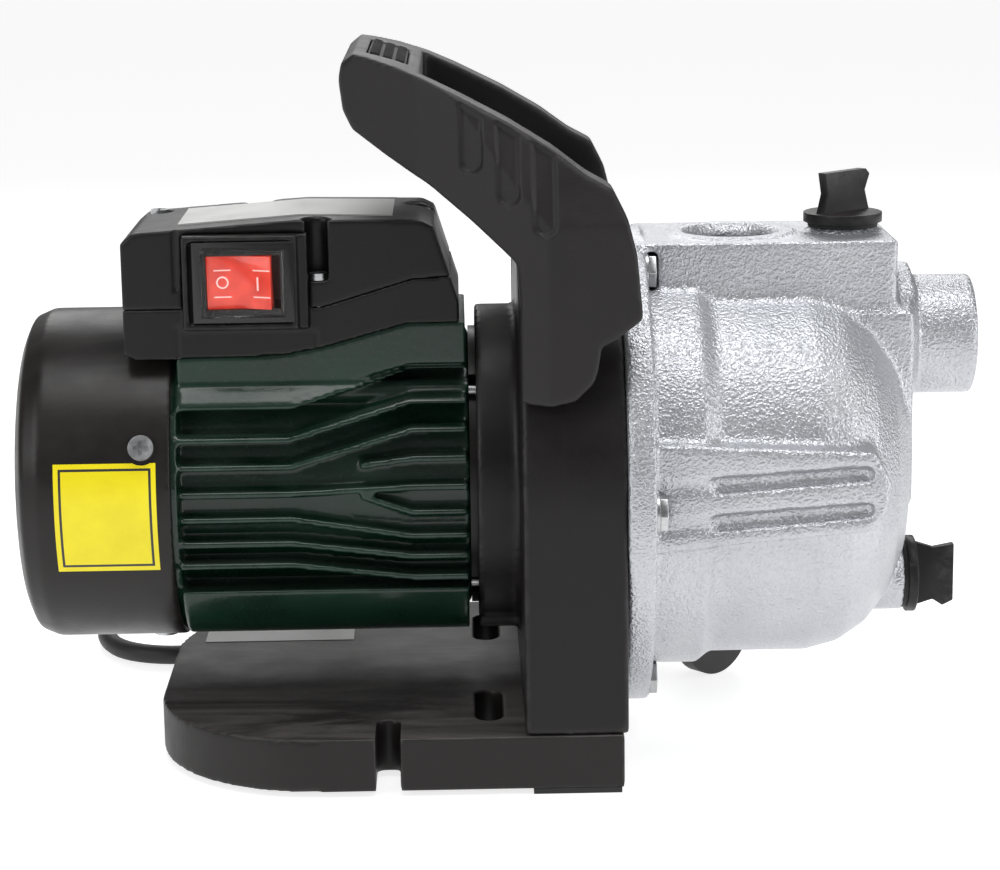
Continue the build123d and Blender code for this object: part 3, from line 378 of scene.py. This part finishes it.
metalSet = {
    "zincSteel": {"color": (0.6, 0.61, 0.62), "rough": 0.3, "grain": 700.0},
    "groundSteel": {"color": (0.66, 0.66, 0.67), "rough": 0.16, "grain": 1500.0, "bump": 0.05},
    "laminations": {"color": (0.3, 0.3, 0.32), "rough": 0.42, "grain": 1200.0},
    "copper": {"color": (0.55, 0.2, 0.08), "rough": 0.3, "grain": 900.0},
    "bareAluminium": {"color": (0.6, 0.6, 0.61), "rough": 0.38, "grain": 500.0, "bump": 0.2},
    "brass": {"color": (0.7, 0.5, 0.2), "rough": 0.24, "grain": 900.0},
    "nickel": {"color": (0.72, 0.7, 0.66), "rough": 0.18, "grain": 1200.0, "bump": 0.05},
}
mats = {name: plastic(name, opt) for name, opt in plasticSet.items()}
mats.update({name: metal(name, opt) for name, opt in metalSet.items()})
# the pit colour is painted shade for the hollows of the cast skin
mats["castSilver"] = castPaint("castSilver", {
    "color": (0.55, 0.56, 0.585), "dark": (0.48, 0.49, 0.52), "pitShadeColor": (0.28, 0.29, 0.32), "rough": 0.37,
    "metallic": 0.78, "pebble": 760.0, "bump": 0.62, "depth": 0.0009, "pitShade": 0.12})
mats["greenPaint"] = glossPaint("greenPaint", {
    "color": (0.004, 0.026, 0.015), "rough": 0.28, "peel": 300.0, "bump": 0.25, "wear": 0.55,
    "fleck": (0.08, 0.12, 0.1), "wearColor": (0.05, 0.1, 0.08)})


def redRocker(opt):
    # red with thin white marks: a ring, a bar and four short lines, all with a painted glow from emission
    material, tree, shader = startMaterial("redRocker", 0.22)
    skin = useGroup(tree, grain, Size=900.0, Mottle_Size=160.0)
    place = addNode(tree, "ShaderNodeTexCoord")
    split = addNode(tree, "ShaderNodeSeparateXYZ")
    tree.links.new(place.outputs["Object"], split.inputs[0])

    def away(label, middle):
        return addMath(tree, "ABSOLUTE", addMath(tree, "SUBTRACT", split.outputs[label], middle), 0)

    def bar(middle, half):
        x, _, z = atDatum((middle[0], 0, middle[1]))
        inX = addMath(tree, "LESS_THAN", away("X", x), half[0] * mm)
        return addMath(tree, "MULTIPLY", inX, addMath(tree, "LESS_THAN", away("Z", z), half[1] * mm))

    x, _, z = atDatum((opt["ring"][0], 0, opt["ring"][1]))
    squares = [addMath(tree, "POWER", away(label, middle), 2) for label, middle in (("X", x), ("Z", z))]
    distance = addMath(tree, "POWER", addMath(tree, "ADD", squares[0], squares[1]), 0.5)
    rim = addMath(tree, "ABSOLUTE", addMath(tree, "SUBTRACT", distance, opt["ringRadius"] * mm), 0)
    marks = addMath(tree, "LESS_THAN", rim, opt["line"] * mm)
    for middle, half in opt["bars"]:
        marks = addMath(tree, "MAXIMUM", marks, bar(middle, half))
    base = addMix(tree, skin.outputs["Mottle"], (0.62, 0.03, 0.015, 1), (0.82, 0.06, 0.03, 1))
    marked = addMix(tree, addMath(tree, "MULTIPLY", marks, 0.75), base, (0.95, 0.75, 0.7, 1))
    tree.links.new(marked, shader.inputs["Base Color"])
    # painted glow: the red and its white marks also drive the emission
    tree.links.new(marked, shader.inputs["Emission Color"])
    shader.inputs["Emission Strength"].default_value = 0.45
    shader.inputs["Coat Weight"].default_value = 0.5
    addBump(tree, shader, skin.outputs["Height"], 0.06, 0.0001)
    return material


rockerSet = {"ring": (-99.6, 177.0), "ringRadius": 1.9, "line": 0.28,
             "bars": [((-87.2, 176.6), (0.32, 2.4)), ((-99.6, 181.3), (3.0, 0.22)), ((-99.6, 171.9), (3.0, 0.22)),
                      ((-85.8, 181.3), (3.0, 0.22)), ((-85.8, 171.9), (3.0, 0.22))]}


def clearCover():
    material, tree, shader = startMaterial("clearCover", 0.08)
    skin = useGroup(tree, grain, Size=600.0, Mottle_Size=120.0)
    shader.inputs["Base Color"].default_value = (0.95, 0.95, 0.95, 1)
    shader.inputs["Transmission Weight"].default_value = 1.0
    shader.inputs["IOR"].default_value = 1.15
    rough = addRange(tree, skin.outputs["Mottle"], 0, 1, 0.05, 0.16)
    tree.links.new(rough, shader.inputs["Roughness"])
    addBump(tree, shader, skin.outputs["Height"], 0.1, 0.0002)
    return material


def yellowLabel():
    # plain yellow with a thin black frame set in from the edge
    material, tree, shader = startMaterial("yellowLabel", 0.3)
    low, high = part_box("cover_label")
    place = addNode(tree, "ShaderNodeTexCoord")
    split = addNode(tree, "ShaderNodeSeparateXYZ")
    tree.links.new(place.outputs["Object"], split.inputs[0])
    inset, width = 1.7 * mm, 0.9 * mm
    edges = []
    for axis, label in ((0, "X"), (2, "Z")):
        middle, half = (low[axis] + high[axis]) / 2, (high[axis] - low[axis]) / 2
        away = addMath(tree, "ABSOLUTE", addMath(tree, "SUBTRACT", split.outputs[label], middle), 0)
        edges.append(addMath(tree, "SUBTRACT", half, away))
    nearest = addMath(tree, "MINIMUM", edges[0], edges[1])
    inner = addMath(tree, "GREATER_THAN", nearest, inset)
    outer = addMath(tree, "LESS_THAN", nearest, inset + width)
    line = addMath(tree, "MULTIPLY", inner, outer)
    skin = useGroup(tree, grain, Size=2400.0, Mottle_Size=60.0)
    base = addMix(tree, skin.outputs["Mottle"], (0.84, 0.70, 0.005, 1), (0.92, 0.79, 0.008, 1))
    framed = addMix(tree, line, base, (0.03, 0.03, 0.03, 1))
    tree.links.new(framed, shader.inputs["Base Color"])
    addBump(tree, shader, skin.outputs["Height"], 0.05, 0.0001)
    return material


mats["redRocker"], mats["clearCover"], mats["yellowLabel"] = redRocker(rockerSet), clearCover(), yellowLabel()

slotFinish = {
    "cast_aluminium": "castSilver", "zinc_steel": "zincSteel", "black_rubber": "blackRubber",
    "black_plastic": "blackPlastic", "base_plastic": "basePlastic", "grey_plastic": "greyPlastic",
    "grip_rubber": "gripRubber", "box_plastic": "boxPlastic", "natural_plastic": "naturalPlastic",
    "brass_parts": "brass", "ceramic": "ceramic", "seal_carbon": "blackRubber", "spring_steel": "groundSteel",
    "plain_label": "labelPaper", "yellow_label": "yellowLabel", "green_paint": "greenPaint",
    "satin_black": "satinBlack", "lamination_steel": "laminations", "copper_wire": "copper",
    "bare_aluminium": "bareAluminium", "bearing_steel": "groundSteel", "shaft_steel": "groundSteel",
    "fan_plastic": "fanPlastic", "capacitor_plastic": "whitePlastic", "switch_plastic": "switchBlack",
    "red_rocker": "redRocker", "clear_cover": "clearCover", "cord_rubber": "cordRubber",
    "tie_plastic": "blackPlastic", "plated_brass": "nickel",
}
slotOf = {part["node"]: part["material_slot"] for part in frame["record"]["subparts"]}


def finishOf(nodeName):
    return mats[slotFinish[slotOf[nodeName]]]


for nodeName, node in nodes.items():
    node.data.materials.clear()
    node.data.materials.append(finishOf(nodeName))
print("materials set", len(mats))

# ------- mesh helpers


def asMesh(thing, name):
    # the piece as its modifiers leave it
    graph = bpy.context.evaluated_depsgraph_get()
    graph.update()
    mesh = bpy.data.meshes.new_from_object(thing.evaluated_get(graph))
    for modifier in list(thing.modifiers):
        thing.modifiers.remove(modifier)
    thing.data = mesh
    mesh.name = name
    return thing


def addPiece(name, mesh, slotName, body, smooth=True):
    piece = bpy.data.objects.new(name, mesh)
    scene.collection.objects.link(piece)
    mesh.materials.clear()
    mesh.materials.append(mats[slotFinish[slotName]])
    mesh.polygons.foreach_set("use_smooth", [smooth] * len(mesh.polygons))
    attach(piece, body)
    return piece


def addBox(build, low, high):
    # a closed box in an open bmesh, given in datum millimetres
    corners = [Vector(atDatum((x, y, z))) for x in (low[0], high[0]) for y in (low[1], high[1])
               for z in (low[2], high[2])]
    verts = [build.verts.new(corner) for corner in corners]
    for face in ((0, 1, 3, 2), (4, 6, 7, 5), (0, 4, 5, 1), (2, 3, 7, 6), (0, 2, 6, 4), (1, 5, 7, 3)):
        build.faces.new([verts[step] for step in face])


def ramp(value, start, end):
    # 0 at start, 1 at end, smooth in between
    share = min(max((value - start) / (end - start), 0.0), 1.0)
    return share * share * (3 - 2 * share)


def pushed(mesh, push):
    # moves each vertex along its normal by what push says, in datum millimetres
    mesh.update()
    moves = []
    for vert in mesh.vertices:
        place = Vector((vert.co.x / mm - datumX, vert.co.y / mm, vert.co.z / mm))
        moves.append(vert.normal * (push(place, vert.normal) * mm))
    for vert, move in zip(mesh.vertices, moves):
        vert.co += move
    mesh.update()


def cadCopy(nodeName):
    # a copy of a CAD node's mesh, and a bmesh of it with its split corners joined again
    mesh = nodes[nodeName].data.copy()
    build = bmesh.new()
    build.from_mesh(mesh)
    bmesh.ops.remove_doubles(build, verts=build.verts, dist=2e-6)
    return mesh, build


def softened(name, nodeName, opt):
    # a copy of a CAD node with its corners rounded as a mould or a casting rounds them
    mesh, build = cadCopy(nodeName)
    for low, high in opt.get("extra", []):
        addBox(build, low, high)
    build.to_mesh(mesh)
    build.free()
    piece = addPiece(name, mesh, slotOf[nodeName], opt.get("body", "pump_body"))
    remesh = piece.modifiers.new("remesh", "REMESH")
    remesh.mode = "VOXEL"
    remesh.voxel_size = opt["voxel"] * mm
    smooth = piece.modifiers.new("smooth", "SMOOTH")
    smooth.factor = 0.5
    smooth.iterations = opt["rounds"]
    asMesh(piece, name)
    if "blend" in opt:
        marked = piece.vertex_groups.new(name="blend")
        for vert in piece.data.vertices:
            share = opt["blend"](Vector((vert.co.x / mm - datumX, vert.co.y / mm, vert.co.z / mm)))
            if share > 0:
                marked.add([vert.index], share, "REPLACE")
        smooth = piece.modifiers.new("blend", "SMOOTH")
        smooth.vertex_group = "blend"
        smooth.factor = 0.5
        smooth.iterations = opt["blendRounds"]
        asMesh(piece, name)
    if "push" in opt:
        pushed(piece.data, opt["push"])
    piece.data.polygons.foreach_set("use_smooth", [True] * len(piece.data.polygons))
    piece.data.materials.clear()
    piece.data.materials.append(finishOf(nodeName))
    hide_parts(nodeName)
    print("softened", nodeName, len(piece.data.polygons))


# ------- the mains lead: one line from the gland, down to the floor, round the coil and into the plug

cordSet = {"radius": 3.9, "coilMiddle": (-76.0, 160.0), "inner": 39.5, "outer": 46.5, "stepsPerTurn": 14,
           "enter": 106.0, "leave": 58.0, "floor": 3.95, "upper": 11.2, "length": 1.5}
firstLead = [(-58, 34, 172), (-58, 62, 172), (-59, 84, 165), (-61, 99, 146), (-63, 107, 122),
             (-66, 111, 97), (-70, 112, 72), (-76, 112, 48), (-84, 109, 27), (-93, 100, 11), (-110, 86, 3.95),
             (-131.5, 73, 3.95), (-157, 81, 3.95), (-168, 105, 3.95), (-166, 132, 3.95), (-153, 157, 3.95),
             (-135, 180, 3.95), (-112, 197, 3.95)]
secondLead = [(-30, 187, 5.5), (-11, 168, 3.95), (2, 147, 3.95), (19, 125, 3.95), (37, 106, 8),
              (49.9, 87.9, 18.6), (61.0, 75.6, 18.6)]


def coilPoints(opt):
    # three turns and a bit, clockwise: in along the floor, up, and out along the top
    total = 360 * 3 + opt["enter"] - opt["leave"]
    count = round(total / 360 * opt["stepsPerTurn"])
    points = []
    for step in range(count + 1):
        share = step / count
        angle = math.radians(opt["enter"] - total * share)
        turn = total * share / 360
        if turn < 1.35:
            radius = opt["outer"] - (opt["outer"] - opt["inner"]) * min(turn / 1.2, 1.0)
        else:
            radius = opt["inner"] + (opt["outer"] - opt["inner"]) * min((turn - 1.35) / 1.5, 1.0)
        rise = min(max((turn - 1.3) / 0.35, 0.0), 1.0)
        height = opt["floor"] + (opt["upper"] - opt["floor"]) * rise * rise * (3 - 2 * rise)
        points.append((opt["coilMiddle"][0] + radius * math.cos(angle),
                       opt["coilMiddle"][1] + radius * math.sin(angle), height))
    return points


def makeCord(opt):
    data = bpy.data.curves.new("mainsLead", "CURVE")
    data.dimensions = "3D"
    data.bevel_depth = opt["radius"] * mm
    data.bevel_resolution = 5
    data.resolution_u = 6
    data.use_fill_caps = True
    route = firstLead + coilPoints(opt) + secondLead
    spline = data.splines.new("NURBS")
    spline.points.add(len(route) - 1)
    for point, place in zip(spline.points, route):
        point.co = (*atDatum(place), 1.0)
    spline.order_u = 3
    spline.use_endpoint_u = True
    cord = bpy.data.objects.new("mains_lead", data)
    scene.collection.objects.link(cord)
    data.materials.append(mats["cordRubber"])
    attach(cord, "pump_body")
    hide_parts("cord_first_run", "cord_last_run", "cord_coil")


makeCord(cordSet)
print("cord made")

# ------- cast and moulded pieces with rounded edges

# each recess in the handle's arms: its middle, its lower end and its upper end
recessSet = {"places": [(-12.2, 217.5, 238.0), (0.3, 207.0, 232.0), (12.5, 197.0, 225.5)], "half": 3.65,
             "depth": 1.5, "slope": 0.62}


def handlePush(place, normal):
    if abs(place.y) < 50 or normal.y * math.copysign(1, place.y) < 0.5:
        return 0
    move = 0
    for middle, low, high in recessSet["places"]:
        across = place.x - middle
        below = max(low + recessSet["half"] - place.z, 0)
        side = math.hypot(across, below) - recessSet["half"]
        top = place.z - (high - recessSet["slope"] * across)
        move -= recessSet["depth"] * ramp(max(side, top), 0.6, -0.6)
    return move


def casingBlend(place):
    # the concave corners between the round body, the top block and the suction chamber
    if place.x < 56 or place.z < 108 or place.z > 183.5 or place.x > 151:
        return 0
    return ramp(place.z, 108, 118) * ramp(place.z, 181, 176) * ramp(place.x, 151, 147)


def lidPush(place, normal):
    if place.y > -43 or normal.y > -0.5:
        return 0
    groove = ramp(abs(place.x + 116.6), 1.1, 0.3) * ramp(place.z, 173, 174)
    return -0.9 * groove


def basePush(place, normal):
    if place.y > -43 or normal.y > -0.5:
        return 0
    left = ramp(abs(place.x + 116.7), 1.0, 0.3) * ramp(place.z, 161.5, 160.5)
    right = ramp(abs(place.x + 67.6), 1.0, 0.3) * ramp(place.z, 159, 158)
    return -0.7 * max(left, right)


def bracketPush(place, normal):
    # the faint raised line where the two halves of the mould met
    return 0.22 * ramp(abs(place.x - 19.5), 0.9, 0.2) if abs(normal.x) < 0.3 else 0


def rimBoxes(left, right, low, high, width, front, back):
    return [((left, front, low), (left + width, back, high)), ((right - width, front, low), (right, back, high)),
            ((left, front, high - width), (right, back, high)), ((left, front, low), (right, back, low + width))]


softSet = {
    "casing": {"node": "pump_casing", "voxel": 1.1, "rounds": 4, "blend": casingBlend, "blendRounds": 14},
    "bracket": {"node": "pump_bracket", "voxel": 1.3, "rounds": 3, "push": bracketPush},
    "footPlate": {"node": "base_plate", "voxel": 1.0, "rounds": 3},
    "carryHandle": {"node": "handle", "voxel": 0.85, "rounds": 16, "push": handlePush},
    "motorBody": {"node": "motor_housing", "voxel": 0.95, "rounds": 2},
    "fanCover": {"node": "fan_cover", "voxel": 1.1, "rounds": 5},
    "boxLid": {"node": "terminal_box_lid", "voxel": 0.8, "rounds": 8, "push": lidPush},
    "boxBase": {"node": "terminal_box", "voxel": 0.75, "rounds": 3, "push": basePush,
                "extra": rimBoxes(-113.6, -73.3, 160.1, 193.4, 2.0, -49.7, -46.5)},
}
for name, opt in softSet.items():
    softened(name, opt["node"], opt)


def gripPad(opt):
    # the rubber pad in the grip: three rows of short cross ribs in a shallow tray
    build = bmesh.new()
    slope = (opt["right"][1] - opt["left"][1]) / (opt["right"][0] - opt["left"][0])
    tilt = Matrix.Rotation(math.atan(-slope), 4, "Y")
    middle = Vector(atDatum(((opt["left"][0] + opt["right"][0]) / 2, 0, (opt["left"][1] + opt["right"][1]) / 2)))
    frameTurn = Matrix.Translation(middle) @ tilt

    def bar(x0, x1, y0, y1, z0, z1, rounding):
        made = bmesh.ops.create_cube(build, size=1.0)
        size = Matrix.Diagonal(((x1 - x0) * mm, (y1 - y0) * mm, (z1 - z0) * mm, 1))
        shift = Matrix.Translation(((x0 + x1) / 2 * mm, (y0 + y1) / 2 * mm, (z0 + z1) / 2 * mm))
        bmesh.ops.transform(build, matrix=frameTurn @ shift @ size, verts=made["verts"])
        edges = list({edge for vert in made["verts"] for edge in vert.link_edges})
        bmesh.ops.bevel(build, geom=edges, offset=rounding * mm, segments=2, affect="EDGES")

    half = opt["half"]
    bar(-7.0, 7.0, -half, half, -3.8, -1.1, 0.4)
    for row in (-4.6, 0.0, 4.6):
        count = int(2 * (half - 2) / opt["pitch"])
        for step in range(count + 1):
            y = (step - count / 2) * opt["pitch"]
            bar(row - 1.7, row + 1.7, y - 0.65, y + 0.65, -1.3, 0.0, 0.35)
    mesh = bpy.data.meshes.new("gripPad")
    build.to_mesh(mesh)
    build.free()
    piece = addPiece("gripPad", mesh, slotOf["grip_insert"], "pump_body", smooth=False)
    mesh.materials.clear()
    mesh.materials.append(finishOf("grip_insert"))
    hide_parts("grip_insert")


gripPad({"left": (-47.5, 255.7), "right": (-33.5, 251.3), "half": 32.0, "pitch": 2.5})


def crossedScrews(name, nodeName, axisOf, size, depth):
    # the same screws with a cross recess in every head
    mesh, build = cadCopy(nodeName)
    build.to_mesh(mesh)
    islands, seen = [], set()
    for vert in build.verts:
        if vert in seen:
            continue
        island, queue = [], [vert]
        seen.add(vert)
        while queue:
            here = queue.pop()
            island.append(here.co.copy())
            for edge in here.link_edges:
                other = edge.other_vert(here)
                if other not in seen:
                    seen.add(other)
                    queue.append(other)
        islands.append(island)
    build.free()
    cutter = bmesh.new()
    for island in islands:
        centre = sum(island, Vector()) / len(island)
        axis = axisOf(centre)
        reach = max(co.dot(axis) for co in island)
        tip = centre + axis * (reach - centre.dot(axis))
        turn = axis.to_track_quat("Z", "Y").to_matrix().to_4x4()
        for long, wide in ((size, size * 0.24), (size * 0.24, size)):
            made = bmesh.ops.create_cube(cutter, size=1.0)
            shape = Matrix.Diagonal((long * mm, wide * mm, 2 * depth * mm, 1))
            bmesh.ops.transform(cutter, matrix=Matrix.Translation(tip) @ turn @ shape, verts=made["verts"])
    cutMesh = bpy.data.meshes.new("cutter")
    cutter.to_mesh(cutMesh)
    cutter.free()
    cutPiece = bpy.data.objects.new("cutter", cutMesh)
    scene.collection.objects.link(cutPiece)
    piece = addPiece(name, mesh, slotOf[nodeName], "pump_body", smooth=False)
    bevel = piece.modifiers.new("bevel", "BEVEL")
    bevel.width = 0.35 * mm
    bevel.segments = 2
    bevel.limit_method = "ANGLE"
    bevel.angle_limit = math.radians(50)
    cut = piece.modifiers.new("cut", "BOOLEAN")
    cut.operation = "DIFFERENCE"
    cut.solver = "EXACT"
    cut.use_self = True
    cut.object = cutPiece
    asMesh(piece, name)
    bpy.data.objects.remove(cutPiece)
    piece.data.materials.clear()
    piece.data.materials.append(finishOf(nodeName))
    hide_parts(nodeName)
    print("crossed", nodeName, len(islands), len(piece.data.polygons))


def outward(centre):
    return Vector((0, centre.y, centre.z - 99 * mm)).normalized()


crossedScrews("coverScrews", "fan_cover_screws", outward, 5.2, 1.3)
crossedScrews("boxScrews", "lid_screws", lambda centre: Vector((0, 0, 1)), 4.2, 1.2)


def bevelled(name, nodeName, width, body):
    # small turned and moulded parts keep their shape and get a fine edge round
    mesh, build = cadCopy(nodeName)
    bmesh.ops.dissolve_limit(build, angle_limit=math.radians(1.0), verts=build.verts, edges=build.edges)
    build.to_mesh(mesh)
    build.free()
    piece = addPiece(name, mesh, slotOf[nodeName], body, smooth=True)
    bevel = piece.modifiers.new("bevel", "BEVEL")
    bevel.width = width * mm
    bevel.segments = 2
    bevel.limit_method = "ANGLE"
    bevel.angle_limit = math.radians(35)
    bevel.harden_normals = True
    asMesh(piece, name)
    piece.data.materials.clear()
    piece.data.materials.append(finishOf(nodeName))
    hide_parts(nodeName)


bevelSet = {
    "switchFrame": ("switch_body", 0.5, "pump_body"),
    "clearCap": ("switch_splash_cover", 0.35, "pump_body"),
    "redRockerCap": ("switch_rocker", 0.4, "rocker"),
    "fillerWing": ("filler_plug", 0.45, "filler_cap"),
    "drainWing": ("drain_plug", 0.45, "drain_cap"),
    "boltHeads": ("casing_bolts", 0.5, "pump_body"),
}
for name, (nodeName, width, body) in bevelSet.items():
    bevelled(name, nodeName, width, body)

floorMesh = bpy.data.meshes.new("floor")
floorMesh.from_pydata([(-6, -6, 0), (6, -6, 0), (6, 6, 0), (-6, 6, 0)], [], [(0, 1, 2, 3)])
floor = bpy.data.objects.new("floor", floorMesh)
floor.location.z = -0.0002
scene.collection.objects.link(floor)
floorMaterial, floorTree, floorShader = startMaterial("paleFloor", 0.35)
floorShader.inputs["Base Color"].default_value = (0.55, 0.55, 0.555, 1)
floorShader.inputs["Emission Color"].default_value = (1, 1, 1, 1)
floorShader.inputs["Emission Strength"].default_value = 0.78
floorMesh.materials.append(floorMaterial)
